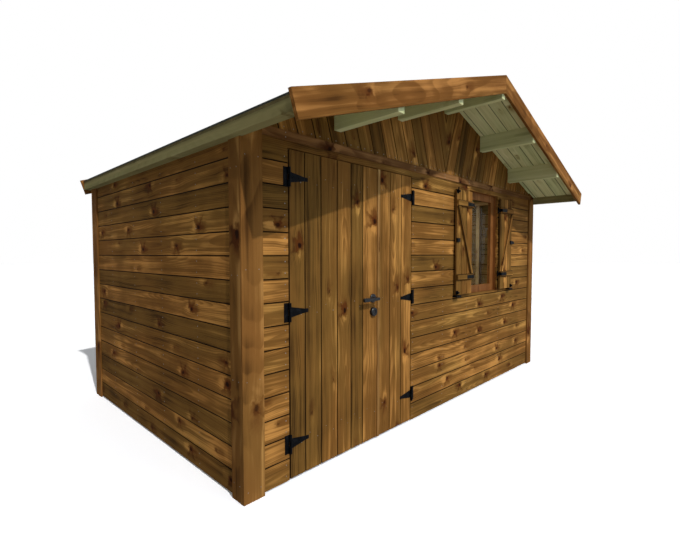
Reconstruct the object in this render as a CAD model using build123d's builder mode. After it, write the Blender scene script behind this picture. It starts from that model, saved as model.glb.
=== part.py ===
"""Timber garden shed with double doors, a shuttered window and a wide front canopy.

Millimetres. +Z is up, the front wall faces -Y, X = 0 is the ridge line, and the origin
lies at ground level under the middle of the roof.
"""
from build123d import *
from math import cos, radians, sin, tan
import os

# ---------------------------------------------------------------- driving dimensions
overall_width = 4000          # over the corner boards
overall_depth = 2478          # over the corner boards
corner_thickness = 12         # corner boards stand proud of the cladding by this much
corner_width = 132            # face width of a corner board
corner_return = 101           # board behind the front one, on the side wall
front_overhang = 501          # cladding to the outer face of the front bargeboards
rear_overhang = 80            # cladding to the outer face of the rear bargeboards

cladding = 19                 # thickness of the wall boards
stud = 45                     # square section of the wall frame
ground_gap = 12               # cladding stops this far above the ground

bearer_height = 45
bearer_width = 70
bearer_count = 6
floor_boards = 19
floor_gap = 5                 # between the front cladding and the edge of the floor

roof_pitch = 18               # degrees
roof_boards = 19
felt = 3
eave_purlin_width = 57        # the eave purlin lies outside the cladding, under the roof's edge
eave_purlin_depth = 76        # against the cladding

purlin_width = 56
purlin_depth = 140            # at the uphill face
purlin_spacing = 650          # between middles, measured level

bargeboard_thickness = 20
bargeboard_depth = 128        # square to the slope
bargeboard_overhang = 27      # roof edge to the top corner of the end cut
bargeboard_upstand = 10       # above the felt, measured plumb

head_board = 40               # cladding between the doorway and the band
band_height = 48
band_thickness = 12
eave_rise = 14                # joint of wall and gable boards to the top of the side wall

door_inset = 303              # outer face of the left wall to the hinge edge of the wide leaf
left_leaf_width = 794
right_leaf_width = 381
leaf_gap = 7                  # between the two leaves
door_gap = 6                  # round the leaves
door_bottom = 18
door_height = 1860
leaf_thickness = 19
leaf_proud = 2                # leaves stand proud of the cladding
ledge_thickness = 22
ledge_height = 95
ledge_inset = 28              # from the edge of a leaf
brace_width = 95
brace_gap = 1                 # between a brace and the ledge it meets
strip_width = 25              # meeting strip on the wide leaf
strip_thickness = 8

hinge_heights = (221, 972, 1725)
hinge_axis_out = 13           # hinge axis in front of the cladding
knuckle_radius = 6
pin_radius = 3
pin_clearance = 0.06
knuckle_count = 3             # over the height of the plate, the outer ones on the plate
knuckle_gap = 0.6
hinge_plate_width = 27
hinge_plate_height = 108
hinge_thickness = 3
strap_length = 140            # from the hinge axis to the tip
strap_root = 59
strap_tip = 22
strap_tip_run = 24            # the last of the strap, which keeps the width of the tip
strap_tip_fillet = 4
strap_start = 9               # strap begins this far from the axis
knuckle_lap = 3               # plate and strap lap their knuckles by this much

handle_backset = 70           # from the meeting edge of the wide leaf
handle_height = 996
cylinder_height = 904
rose_radius = 30
rose_thickness = 9
rose_chamfer = 2
cylinder_rose_thickness = 22
cylinder_rose_chamfer = 4
cylinder_dish = (15, 4)       # radius and depth of the hollow in its face
spindle_radius = 5
spindle_bore = 7              # radius of the hole through leaf and ledge
lever_radius = 10             # of the neck
lever_reach = 46              # from the rose face to the middle of the lever
lever_gap = 1                 # between a neck and its rose
lever_length = 150
lever_thickness = 16
lever_tip = (26, 5)           # height and corner radius of the grip at its end
lever_chamfer = 3

window_inset = 953            # outer face of the right wall to the opening in the cladding
window_width = 601
window_bottom = 930
frame_face = 18               # lining behind the cladding, all round the opening
sash_stile = 69
sash_rail = 66
sash_setback = 42             # cladding face to sash face
sash_depth = 30
glass_setback = 12            # sash face to glass face
glass_thickness = 4
glass_bite = 8                # glass held this deep in the sash
catch_height = 1560           # spindle of the handle inside the window
catch_plate = (26, 62, 5)
catch_neck = (8, 28)          # radius and length
catch_grip = (18, 100, 11)

shutter_bottom = 940
shutter_height = 922
shutter_axis_in = 1           # hinge axes lie this far inside the opening's edges
shutter_axis_out = 10         # hinge axes in front of the cladding
shutter_edge = 8              # hinge axis to the edge of the shutter
shutter_meet = 8              # between the closed shutters
shutter_wall_gap = 10         # behind an open shutter
shutter_boards = 19
shutter_ledge = 19
shutter_ledge_height = 54
shutter_ledge_levels = (127, 776)     # from the foot of the shutter to the foot of a ledge
shutter_brace_width = 42
shutter_pin_radius = 3.5
shutter_eye_radius = 6
shutter_strap_height = 32
shutter_strap_length = 118
shutter_strap_thickness = 2.5
pintle_plate_thickness = 3
pintle_plate_width = 36
pintle_plate_height = 60
pintle_foot = 8               # height of the lug that carries a pin
pintle_gap = 1

bolt_plate = (36, 34, 2.5)    # width, height and thickness
bolt_inset = 1                # from the shutter's outer edge to a plate
bolt_rod_radius = 4.5
bolt_rod_reach = 16           # past the end of a shutter, above
bolt_rod_stop = 4             # short of the end of a shutter, below
bolt_knob = (10, 13)          # radius and length
bolt_end_inset = 3            # from the end of the shutter to a plate
catch_block_height = 1420     # middle of the shutters' catches
catch_block = (50, 34, 12)    # width, height and thickness
holdback = (100, 24, 14)      # bar on the wall beside the right shutter
holdback_gap = 7
keeper = (80, 14, 44)         # bracket below a shutter's outer corner
keeper_outside = 8            # keeper past the outer edge of the shutter
keeper_gap = 6

left_stud_first = 486         # front cladding face to the middle of a stud
left_stud_spacing = 494
right_stud_first = 646
right_stud_spacing = 600
back_stud_spacing = 660

# ---------------------------------------------------------------- worked-out places
half_width = overall_width / 2 - corner_thickness
wall_depth = overall_depth - 2 * corner_thickness
roof_length = front_overhang + wall_depth + rear_overhang
front_y = -roof_length / 2 + front_overhang
back_y = front_y + wall_depth
inner_half = half_width - cladding
slope = tan(radians(roof_pitch))
plumb = 1 / cos(radians(roof_pitch))
door_top = door_bottom + door_height
doorway_top = door_top + door_gap
band_bottom = doorway_top + head_board
gable_seat = band_bottom + band_height / 2
wall_top = gable_seat + eave_rise
ridge_underside = wall_top + half_width * slope
eave_half = half_width + eave_purlin_width
eave_purlin_bottom = wall_top - eave_purlin_depth
bargeboard_half = eave_half + bargeboard_overhang
roof_front = front_y - front_overhang + bargeboard_thickness
roof_back = back_y + rear_overhang - bargeboard_thickness
floor_top = bearer_height + floor_boards
floor_front = front_y + cladding + floor_gap

door_left = door_inset - half_width
door_right = door_left + left_leaf_width + leaf_gap + right_leaf_width
doorway_left = door_left - door_gap
doorway_right = door_right + door_gap
leaf_front = front_y - leaf_proud
leaf_back = leaf_front + leaf_thickness
hinge_y = front_y - hinge_axis_out
knuckle_length = hinge_plate_height / knuckle_count
window_right = half_width - window_inset
window_left = window_right - window_width
window_top = doorway_top
header_bottom = doorway_top + frame_face

os.makedirs("parts", exist_ok=True)


def underside(x):
    """Height of the underside of the roof boards at a distance from the ridge line."""
    return ridge_underside - abs(x) * slope


def block(x0, x1, y0, y1, z0, z1):
    """A squared board or timber between two corners, added to the open part."""
    with Locations(((x0 + x1) / 2, (y0 + y1) / 2, (z0 + z1) / 2)):
        Box(abs(x1 - x0), abs(y1 - y0), abs(z1 - z0))


def facing(y):
    """Upright plane at y, drawn in X and Z; a negative extrusion goes towards the back."""
    return Plane.XZ.offset(-y)


def save(piece, name):
    piece.part.label = name
    export_step(piece.part, f"parts/{name}.step")


# ---------------------------------------------------------------- floor
with BuildPart() as floor_bearers:
    run = 2 * inner_half - bearer_width
    for i in range(bearer_count):
        middle = -run / 2 + i * run / (bearer_count - 1)
        block(middle - bearer_width / 2, middle + bearer_width / 2, floor_front, back_y - cladding,
              0, bearer_height)
save(floor_bearers, "floor_bearers")

with BuildPart() as floor_deck:
    block(-inner_half, inner_half, floor_front, back_y - cladding, bearer_height, floor_top)
save(floor_deck, "floor_deck")

# ---------------------------------------------------------------- wall cladding
for name, side in (("left_wall", -1), ("right_wall", 1)):
    with BuildPart() as side_wall:
        block(side * inner_half, side * half_width, front_y + cladding, back_y - cladding,
              ground_gap, wall_top)
    save(side_wall, name)

with BuildPart() as back_wall:
    block(-half_width, half_width, back_y - cladding, back_y, ground_gap, gable_seat)
save(back_wall, "back_wall")

front_pieces = {
    "front_wall_left": (-half_width, doorway_left, ground_gap, doorway_top),
    "front_wall_middle": (doorway_right, window_left, ground_gap, doorway_top),
    "front_wall_below_window": (window_left, window_right, ground_gap, window_bottom),
    "front_wall_right": (window_right, half_width, ground_gap, doorway_top),
}
for name, (x0, x1, z0, z1) in front_pieces.items():
    with BuildPart() as front_piece:
        block(x0, x1, front_y, front_y + cladding, z0, z1)
    save(front_piece, name)

with BuildPart() as front_wall_head:
    block(-half_width, half_width, front_y, front_y + cladding, doorway_top, gable_seat)
save(front_wall_head, "front_wall_head")


def purlin_outline(middle):
    """Section of a purlin: plumb sides, level bottom, top cut to the roof slope."""
    x0 = middle - purlin_width / 2
    x1 = middle + purlin_width / 2
    uphill = min(abs(x0), abs(x1)) if middle else 0
    bottom = underside(uphill) - purlin_depth
    top = [(x1, underside(x1)), (x0, underside(x0))]
    if middle == 0:
        top.insert(1, (0, ridge_underside))
    return [(x0, bottom), (x1, bottom)] + top


purlin_middles = [i * purlin_spacing for i in (-2, -1, 0, 1, 2)]

for name, y0 in (("front_gable", front_y), ("back_gable", back_y - cladding)):
    with BuildPart() as gable:
        with BuildSketch(facing(y0)):
            with BuildLine():
                Polyline((-half_width, gable_seat), (half_width, gable_seat), (half_width, wall_top),
                         (0, ridge_underside), (-half_width, wall_top), close=True)
            make_face()
            for middle in purlin_middles:
                with BuildLine():
                    Polyline(*purlin_outline(middle), close=True)
                make_face(mode=Mode.SUBTRACT)
        extrude(amount=-cladding)
    save(gable, name)

# ---------------------------------------------------------------- bands and corner boards
band_half = half_width + corner_thickness - corner_width
with BuildPart() as gable_bands:
    block(-band_half, band_half, front_y - band_thickness, front_y, band_bottom, band_bottom + band_height)
    block(-band_half, band_half, back_y, back_y + band_thickness, band_bottom, band_bottom + band_height)
save(gable_bands, "gable_bands")

outer_half = half_width + corner_thickness


def end_board(side, outer, y0):
    """Corner board on the front or back face, cut round the eave purlin at its top."""
    with BuildSketch(facing(y0)) as outline:
        with BuildLine():
            corner = [(side * band_half, 0), (side * outer, 0)]
            if outer > half_width:
                corner += [(side * outer, eave_purlin_bottom), (side * half_width, eave_purlin_bottom)]
            Polyline(*corner, (side * half_width, wall_top), (side * band_half, underside(band_half)), close=True)
        make_face()
    extrude(outline.sketch, amount=-corner_thickness)


with BuildPart() as end_corner_boards:
    for side in (-1, 1):
        end_board(side, outer_half, front_y - corner_thickness)
        end_board(side, half_width, back_y)
save(end_corner_boards, "end_corner_boards")

with BuildPart() as side_corner_boards:
    for side in (-1, 1):
        block(side * half_width, side * outer_half, front_y, front_y + corner_return, 0, eave_purlin_bottom)
        block(side * half_width, side * outer_half, back_y + corner_thickness - corner_width,
              back_y + corner_thickness, 0, eave_purlin_bottom)
save(side_corner_boards, "side_corner_boards")

# ---------------------------------------------------------------- wall frame
sole_top = floor_top + stud
head_bottom = wall_top - stud
frame_front = front_y + cladding
frame_back = back_y - cladding
window_stud_left = window_left - frame_face - stud
window_stud_right = window_right + frame_face

with BuildPart() as end_plates:
    block(-inner_half, doorway_left, frame_front, frame_front + stud, floor_top, sole_top)
    block(doorway_right, inner_half, frame_front, frame_front + stud, floor_top, sole_top)
    block(-inner_half, inner_half, frame_front, frame_front + stud, header_bottom, wall_top)
    block(window_stud_left + stud, window_stud_right, frame_front, frame_front + stud,
          window_bottom - frame_face - stud, window_bottom - frame_face)
    block(-inner_half, inner_half, frame_back - stud, frame_back, floor_top, sole_top)
    block(-inner_half, inner_half, frame_back - stud, frame_back, head_bottom, wall_top)
save(end_plates, "end_plates")

with BuildPart() as side_plates:
    for side in (-1, 1):
        for z0, z1 in ((floor_top, sole_top), (head_bottom, wall_top)):
            block(side * (inner_half - stud), side * inner_half, frame_front + stud, frame_back - stud, z0, z1)
save(side_plates, "side_plates")

middle_stud_left = (doorway_right + window_left - stud) / 2
front_stud_lefts = (-inner_half, doorway_left - stud, doorway_right, middle_stud_left,
                    window_stud_left, window_stud_right, inner_half - stud)
back_stud_count = int((inner_half - stud) / back_stud_spacing)
with BuildPart() as end_studs:
    for x in front_stud_lefts:
        block(x, x + stud, frame_front, frame_front + stud, sole_top, header_bottom)
    for x in (-inner_half, inner_half - stud):
        block(x, x + stud, frame_back - stud, frame_back, sole_top, head_bottom)
    for i in range(-back_stud_count, back_stud_count + 1):
        x = i * back_stud_spacing
        block(x - stud / 2, x + stud / 2, frame_back - stud, frame_back, sole_top, head_bottom)
save(end_studs, "end_studs")

with BuildPart() as side_studs:
    for side, first, spacing in ((-1, left_stud_first, left_stud_spacing),
                                 (1, right_stud_first, right_stud_spacing)):
        last = wall_depth - cladding - stud - spacing / 2
        for i in range(int((last - first) / spacing) + 1):
            y = front_y + first + i * spacing
            block(side * (inner_half - stud), side * inner_half, y - stud / 2, y + stud / 2,
                  sole_top, head_bottom)
save(side_studs, "side_studs")

# ---------------------------------------------------------------- roof
roof_run = roof_back - roof_front
with BuildPart() as purlins:
    for middle in purlin_middles:
        with BuildSketch(facing(roof_front)):
            with BuildLine():
                Polyline(*purlin_outline(middle), close=True)
            make_face()
        extrude(amount=-roof_run)
save(purlins, "purlins")

with BuildPart() as eave_purlins:
    for side in (-1, 1):
        with BuildSketch(facing(roof_front)):
            with BuildLine():
                Polyline((side * half_width, eave_purlin_bottom), (side * eave_half, eave_purlin_bottom),
                         (side * eave_half, underside(eave_half)), (side * half_width, wall_top), close=True)
            make_face()
        extrude(amount=-roof_run)
save(eave_purlins, "eave_purlins")

board_rise = roof_boards * plumb
felt_rise = felt * plumb
for name, side in (("left_roof_boards", -1), ("right_roof_boards", 1)):
    with BuildPart() as deck:
        with BuildSketch(facing(roof_front)):
            with BuildLine():
                Polyline((0, ridge_underside), (side * eave_half, underside(eave_half)),
                         (side * eave_half, underside(eave_half) + board_rise),
                         (0, ridge_underside + board_rise), close=True)
            make_face()
        extrude(amount=-roof_run)
    save(deck, name)

with BuildPart() as roof_felt:
    with BuildSketch(facing(roof_front)):
        with BuildLine():
            low = underside(eave_half) + board_rise
            Polyline((-eave_half, low), (0, ridge_underside + board_rise), (eave_half, low),
                     (eave_half, low + felt_rise), (0, ridge_underside + board_rise + felt_rise),
                     (-eave_half, low + felt_rise), close=True)
        make_face()
    extrude(amount=-roof_run)
save(roof_felt, "roof_felt")

barge_apex = ridge_underside + board_rise + felt_rise + bargeboard_upstand
barge_end = barge_apex - bargeboard_half * slope
end_in = bargeboard_depth * sin(radians(roof_pitch))
end_down = bargeboard_depth * cos(radians(roof_pitch))
for name, side in (("left_bargeboards", -1), ("right_bargeboards", 1)):
    with BuildPart() as bargeboards:
        for y0 in (roof_front - bargeboard_thickness, roof_back):
            with BuildSketch(facing(y0)):
                with BuildLine():
                    Polyline((0, barge_apex), (side * bargeboard_half, barge_end),
                             (side * (bargeboard_half - end_in), barge_end - end_down),
                             (0, barge_apex - bargeboard_depth * plumb), close=True)
                make_face()
            extrude(amount=-bargeboard_thickness)
    save(bargeboards, name)

# ---------------------------------------------------------------- window
window_height = window_top - window_bottom
window_middle = ((window_left + window_right) / 2, (window_bottom + window_top) / 2)
light_width = window_width - 2 * sash_stile
light_height = window_height - 2 * sash_rail
sash_front = front_y + sash_setback
glass_front = sash_front + glass_setback

with BuildPart() as window_frame:
    with BuildSketch(facing(frame_front)):
        with Locations(window_middle):
            Rectangle(window_width + 2 * frame_face, window_height + 2 * frame_face)
            Rectangle(window_width, window_height, mode=Mode.SUBTRACT)
    extrude(amount=-stud)
save(window_frame, "window_frame")

with BuildPart() as window_sash:
    with BuildSketch(facing(sash_front)):
        with Locations(window_middle):
            Rectangle(window_width, window_height)
            Rectangle(light_width, light_height, mode=Mode.SUBTRACT)
    extrude(amount=-sash_depth)
    with BuildSketch(facing(glass_front)):
        with Locations(window_middle):
            Rectangle(light_width + 2 * glass_bite, light_height + 2 * glass_bite)
    extrude(amount=-glass_thickness, mode=Mode.SUBTRACT)
save(window_sash, "window_sash")

with BuildPart() as window_glass:
    with BuildSketch(facing(glass_front)):
        with Locations(window_middle):
            Rectangle(light_width + 2 * glass_bite, light_height + 2 * glass_bite)
    extrude(amount=-glass_thickness)
save(window_glass, "window_glass")

# The handle hangs on the stile by the right jamb, inside the shed.
catch_x = window_right - sash_stile / 2
sash_back = sash_front + sash_depth
with BuildPart() as window_catch:
    with BuildSketch(facing(sash_back)):
        with Locations((catch_x, catch_height)):
            Rectangle(catch_plate[0], catch_plate[1])
    extrude(amount=-catch_plate[2])
    with BuildSketch(facing(sash_back)):
        with Locations((catch_x, catch_height)):
            Circle(catch_neck[0])
    extrude(amount=-catch_neck[1])
    with BuildSketch(facing(sash_back + catch_neck[1])):
        with Locations((catch_x, catch_height - catch_grip[1] / 2 + catch_grip[0] / 2)):
            SlotOverall(catch_grip[1], catch_grip[0], rotation=90)
    extrude(amount=-catch_grip[2])
save(window_catch, "window_catch")

# ---------------------------------------------------------------- T-hinges of the doors
left_hinge_x = door_left - door_gap / 2
right_hinge_x = door_right + door_gap / 2


def knuckle_levels(z, first):
    """Bottom heights of every other knuckle of a hinge."""
    foot = z - hinge_plate_height / 2 + knuckle_gap / 2
    return [foot + i * knuckle_length for i in range(first, knuckle_count, 2)]


def fixed_plate(x, side, z):
    """Wall half of a T-hinge: plate, outer knuckles and the pin; side is +1 where the door lies to +X."""
    block(x - side * (strap_start + hinge_plate_width), x - side * (strap_start - knuckle_lap),
          front_y - hinge_thickness, front_y, z - hinge_plate_height / 2, z + hinge_plate_height / 2)
    for level in knuckle_levels(z, 0):
        with BuildSketch(Plane.XY.offset(level)) as knuckle:
            with Locations((x, hinge_y)):
                Circle(knuckle_radius)
            with Locations((x - side * strap_start / 2, (hinge_y + front_y) / 2)):
                Rectangle(strap_start, hinge_axis_out)
        extrude(knuckle.sketch, amount=knuckle_length - knuckle_gap)
    with Locations((x, hinge_y, z)):
        Cylinder(pin_radius, hinge_plate_height - knuckle_gap)


def strap(x, side, z):
    """Door half of a T-hinge: strap that tapers to a narrow tip, and the inner knuckles."""
    root = x + side * strap_start
    tip = x + side * strap_length
    taper_end = tip - side * strap_tip_run
    with BuildSketch(facing(leaf_front - hinge_thickness)) as outline:
        with BuildLine():
            Polyline((root, z - strap_root / 2), (taper_end, z - strap_tip / 2), (tip, z - strap_tip / 2),
                     (tip, z + strap_tip / 2), (taper_end, z + strap_tip / 2), (root, z + strap_root / 2),
                     close=True)
        make_face()
        corners = outline.vertices().filter_by(lambda corner: abs(corner.X - tip) < 0.01)
        fillet(corners, strap_tip_fillet)
    extrude(outline.sketch, amount=-hinge_thickness)
    for level in knuckle_levels(z, 1):
        with BuildSketch(Plane.XY.offset(level)) as knuckle:
            with Locations((x, hinge_y)):
                Circle(knuckle_radius)
            with Locations((x + side * (strap_start + knuckle_lap) / 2, (hinge_y + leaf_front) / 2)):
                Rectangle(strap_start + knuckle_lap, leaf_front - hinge_y)
            with Locations((x, hinge_y)):
                Circle(pin_radius + pin_clearance, mode=Mode.SUBTRACT)
        extrude(knuckle.sketch, amount=knuckle_length - knuckle_gap)


with BuildPart() as door_hinge_plates:
    for z in hinge_heights:
        fixed_plate(left_hinge_x, 1, z)
        fixed_plate(right_hinge_x, -1, z)
save(door_hinge_plates, "door_hinge_plates")

for name, x, side in (("left_door_straps", left_hinge_x, 1), ("right_door_straps", right_hinge_x, -1)):
    with BuildPart() as straps:
        for z in hinge_heights:
            strap(x, side, z)
    save(straps, name)

# ---------------------------------------------------------------- doors
left_leaf_right = door_left + left_leaf_width
right_leaf_left = door_right - right_leaf_width
handle_x = left_leaf_right - handle_backset


def cross_bore(x, z, radius):
    """Hole through a leaf or a ledge, front to back."""
    with Locations(Location((x, front_y, z), (90, 0, 0))):
        Cylinder(radius, 4 * (leaf_thickness + ledge_thickness), mode=Mode.SUBTRACT)


for name, x0, x1 in (("left_door_boards", door_left, left_leaf_right),
                     ("right_door_boards", right_leaf_left, door_right)):
    with BuildPart() as leaf:
        block(x0, x1, leaf_front, leaf_back, door_bottom, door_top)
        if x0 == door_left:
            cross_bore(handle_x, handle_height, spindle_bore)
    save(leaf, name)

for name, x0, x1, rise in (("left_door_ledges", door_left, left_leaf_right, 1),
                           ("right_door_ledges", right_leaf_left, door_right, -1)):
    with BuildPart() as ledges:
        a = x0 + ledge_inset
        b = x1 - ledge_inset
        for z in hinge_heights:
            block(a, b, leaf_back, leaf_back + ledge_thickness, z - ledge_height / 2, z + ledge_height / 2)
        foot, head = (a, b) if rise > 0 else (b, a)
        lean = brace_width if rise > 0 else -brace_width
        for low, high in zip(hinge_heights[:-1], hinge_heights[1:]):
            z0 = low + ledge_height / 2 + brace_gap
            z1 = high - ledge_height / 2 - brace_gap
            with BuildSketch(facing(leaf_back)):
                with BuildLine():
                    Polyline((foot, z0), (foot + lean, z0), (head, z1), (head - lean, z1), close=True)
                make_face()
            extrude(amount=-ledge_thickness)
        if rise > 0:
            cross_bore(handle_x, handle_height, spindle_bore)
    save(ledges, name)

with BuildPart() as meeting_strip:
    block(left_leaf_right - strip_width, left_leaf_right, leaf_front - strip_thickness, leaf_front,
          door_bottom, door_top)
save(meeting_strip, "meeting_strip")

# ---------------------------------------------------------------- lock furniture and lever
rose_front = leaf_front - rose_thickness
rose_back = leaf_back + ledge_thickness + rose_thickness


def disc(x, y0, y1, z, radius):
    """Round plate or boss whose axis runs front to back."""
    with BuildSketch(facing(y0)) as outline:
        with Locations((x, z)):
            Circle(radius)
    extrude(outline.sketch, amount=-(y1 - y0))


with BuildPart() as lock_roses:
    for y0, y1 in ((rose_front, leaf_front), (leaf_back + ledge_thickness, rose_back)):
        disc(handle_x, y0, y1, handle_height, rose_radius)
    cross_bore(handle_x, handle_height, spindle_radius + pin_clearance)
    rims = lock_roses.edges().filter_by(GeomType.CIRCLE).filter_by(lambda edge: edge.radius == rose_radius)
    chamfer(rims.group_by(Axis.Y)[0], rose_chamfer)
    # The lock's rose is turned on its own axis: a thick ring round a shallow dish.
    face = cylinder_rose_thickness
    dish_radius, dish_depth = cylinder_dish
    lock_centre = (handle_x, leaf_front, cylinder_height)
    with BuildSketch(Plane(lock_centre, x_dir=(1, 0, 0), z_dir=(0, 0, -1))) as half_section:
        with BuildLine():
            Polyline((0, 0), (rose_radius, 0), (rose_radius, face), (dish_radius, face),
                     (dish_radius, face - dish_depth), (0, face - dish_depth), close=True)
        make_face()
        rim = half_section.vertices().sort_by(lambda corner: corner.X + corner.Y)[-1]
        chamfer(rim, cylinder_rose_chamfer)
    revolve(half_section.sketch, axis=Axis(lock_centre, (0, -1, 0)))
save(lock_roses, "lock_roses")

with BuildPart() as lever_handle:
    lever_front = rose_front - lever_reach
    lever_back = rose_back + lever_reach
    tip_height, tip_corner = lever_tip
    corner_x = handle_x - lever_length + tip_corner
    corner_rise = tip_height / 2 - tip_corner
    disc(handle_x, lever_front, lever_back, handle_height, spindle_radius)
    for y, y0, y1 in ((lever_front, lever_front, rose_front - lever_gap),
                       (lever_back, rose_back + lever_gap, lever_back)):
        disc(handle_x, y0, y1, handle_height, lever_radius)
        with BuildSketch(facing(y - lever_thickness / 2)) as grip:
            with Locations((handle_x, handle_height)):
                Circle(lever_radius)
            with Locations((corner_x, handle_height - corner_rise), (corner_x, handle_height + corner_rise)):
                Circle(tip_corner)
            make_hull()
        extrude(grip.sketch, amount=-lever_thickness)
    across_leaf = lever_handle.faces().filter_by(Axis.Y).sort_by(Axis.Y)
    chamfer(across_leaf[0].edges() + across_leaf[-1].edges(), lever_chamfer)
save(lever_handle, "lever_handle")

# ---------------------------------------------------------------- shutters
shutter_axis_left = window_left + shutter_axis_in
shutter_axis_right = window_right - shutter_axis_in
shutter_axis_y = front_y - shutter_axis_out
shutter_width = (shutter_axis_right - shutter_axis_left - shutter_meet) / 2 - shutter_edge
shutter_top = shutter_bottom + shutter_height
board_back = front_y - shutter_wall_gap
board_front = board_back - shutter_boards
ledge_front = board_front - shutter_ledge
strap_face = ledge_front - shutter_strap_thickness
ledge_levels = [shutter_bottom + level for level in shutter_ledge_levels]
strap_levels = [level + (shutter_ledge_height - shutter_strap_height) / 2 for level in ledge_levels]

for hand, axis_x, side in (("left", shutter_axis_left, -1), ("right", shutter_axis_right, 1)):
    inner = axis_x + side * shutter_edge
    outer = inner + side * shutter_width
    with BuildPart() as shutter:
        block(inner, outer, board_front, board_back, shutter_bottom, shutter_top)
    save(shutter, f"{hand}_shutter_boards")

    with BuildPart() as shutter_ledges:
        for level in ledge_levels:
            block(inner, outer, ledge_front, board_front, level, level + shutter_ledge_height)
        z0 = ledge_levels[0] + shutter_ledge_height + brace_gap
        z1 = ledge_levels[1] - brace_gap
        lean = side * shutter_brace_width
        with BuildSketch(facing(ledge_front)):
            with BuildLine():
                Polyline((inner, z0), (inner + lean, z0), (outer, z1), (outer - lean, z1), close=True)
            make_face()
        extrude(amount=-shutter_ledge)
    save(shutter_ledges, f"{hand}_shutter_ledges")

    # Each strap lies on its ledge, turns back along the shutter's edge and ends in an eye.
    web = inner - side * shutter_strap_thickness
    with BuildPart() as shutter_straps:
        for level in strap_levels:
            with BuildSketch(Plane.XY.offset(level)):
                with Locations(((web + inner + side * shutter_strap_length) / 2, (strap_face + ledge_front) / 2)):
                    Rectangle(shutter_strap_length + shutter_strap_thickness, shutter_strap_thickness)
                with Locations(((web + inner) / 2, (strap_face + shutter_axis_y) / 2)):
                    Rectangle(shutter_strap_thickness, shutter_axis_y - strap_face)
                with Locations(((axis_x + inner) / 2, shutter_axis_y - shutter_pin_radius)):
                    Rectangle(shutter_edge, 2 * shutter_strap_thickness)
                with Locations((axis_x, shutter_axis_y)):
                    Circle(shutter_eye_radius)
                    Circle(shutter_pin_radius + pin_clearance, mode=Mode.SUBTRACT)
            extrude(amount=shutter_strap_height)
    save(shutter_straps, f"{hand}_shutter_straps")

    # Bolts at the outer corners, and a catch at mid-height on the edge where the shutters meet.
    plate_x = outer - side * bolt_inset
    rod_x = plate_x - side * bolt_plate[0] / 2
    rod_y = board_front - bolt_plate[2] - bolt_rod_radius
    bolts = [(shutter_bottom + bolt_end_inset, shutter_bottom + bolt_rod_stop,
              shutter_bottom + bolt_end_inset + bolt_plate[1])]
    if hand == "left":
        bolts.append((shutter_top - bolt_end_inset - bolt_plate[1],
                      shutter_top - bolt_end_inset - bolt_plate[1], shutter_top + bolt_rod_reach))
    with BuildPart() as shutter_bolts:
        for plate_foot, rod_foot, rod_head in bolts:
            block(plate_x, plate_x - side * bolt_plate[0], board_front - bolt_plate[2], board_front,
                  plate_foot, plate_foot + bolt_plate[1])
            with Locations((rod_x, rod_y, (rod_foot + rod_head) / 2)):
                Cylinder(bolt_rod_radius, rod_head - rod_foot)
            disc(rod_x, rod_y - bolt_knob[1], rod_y, plate_foot + bolt_plate[1] / 2, bolt_knob[0])
        block(outer, outer - side * catch_block[0], board_front - catch_block[2], board_front,
              catch_block_height - catch_block[1] / 2, catch_block_height + catch_block[1] / 2)
    save(shutter_bolts, f"{hand}_shutter_bolts")

with BuildPart() as shutter_pintles:
    for axis_x, side in ((shutter_axis_left, -1), (shutter_axis_right, 1)):
        edge = axis_x + side * shutter_axis_in
        for level in strap_levels:
            foot = level - pintle_gap - pintle_foot
            middle = level + shutter_strap_height / 2
            block(edge, edge + side * pintle_plate_width, front_y - pintle_plate_thickness, front_y,
                  middle - pintle_plate_height / 2, middle + pintle_plate_height / 2)
            block(axis_x - shutter_pin_radius, axis_x + shutter_pin_radius,
                  shutter_axis_y, front_y - pintle_plate_thickness, foot, foot + pintle_foot)
            with Locations((axis_x, shutter_axis_y, (foot + level + shutter_strap_height) / 2)):
                Cylinder(shutter_pin_radius, level + shutter_strap_height - foot)
save(shutter_pintles, "shutter_pintles")

# Brackets on the wall that the lower bolts drop into, and the bar that holds the right shutter open.
left_outer = shutter_axis_left - shutter_edge - shutter_width
right_outer = shutter_axis_right + shutter_edge + shutter_width
keeper_top = shutter_bottom - keeper_gap
with BuildPart() as shutter_keepers:
    for outer, side in ((left_outer, -1), (right_outer, 1)):
        block(outer + side * keeper_outside, outer + side * (keeper_outside - keeper[0]),
              front_y - keeper[2], front_y, keeper_top - keeper[1], keeper_top)
    block(right_outer + holdback_gap, right_outer + holdback_gap + holdback[0], front_y - holdback[2], front_y,
          catch_block_height - holdback[1] / 2, catch_block_height + holdback[1] / 2)
save(shutter_keepers, "shutter_keepers")
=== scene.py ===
"""Timber garden shed: boards, nails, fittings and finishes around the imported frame.

Metres. +Z is up, the front wall faces -Y and X = 0 is the ridge line.
"""
import math
import random

import bmesh
import bpy
from mathutils import Matrix, Vector


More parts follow.
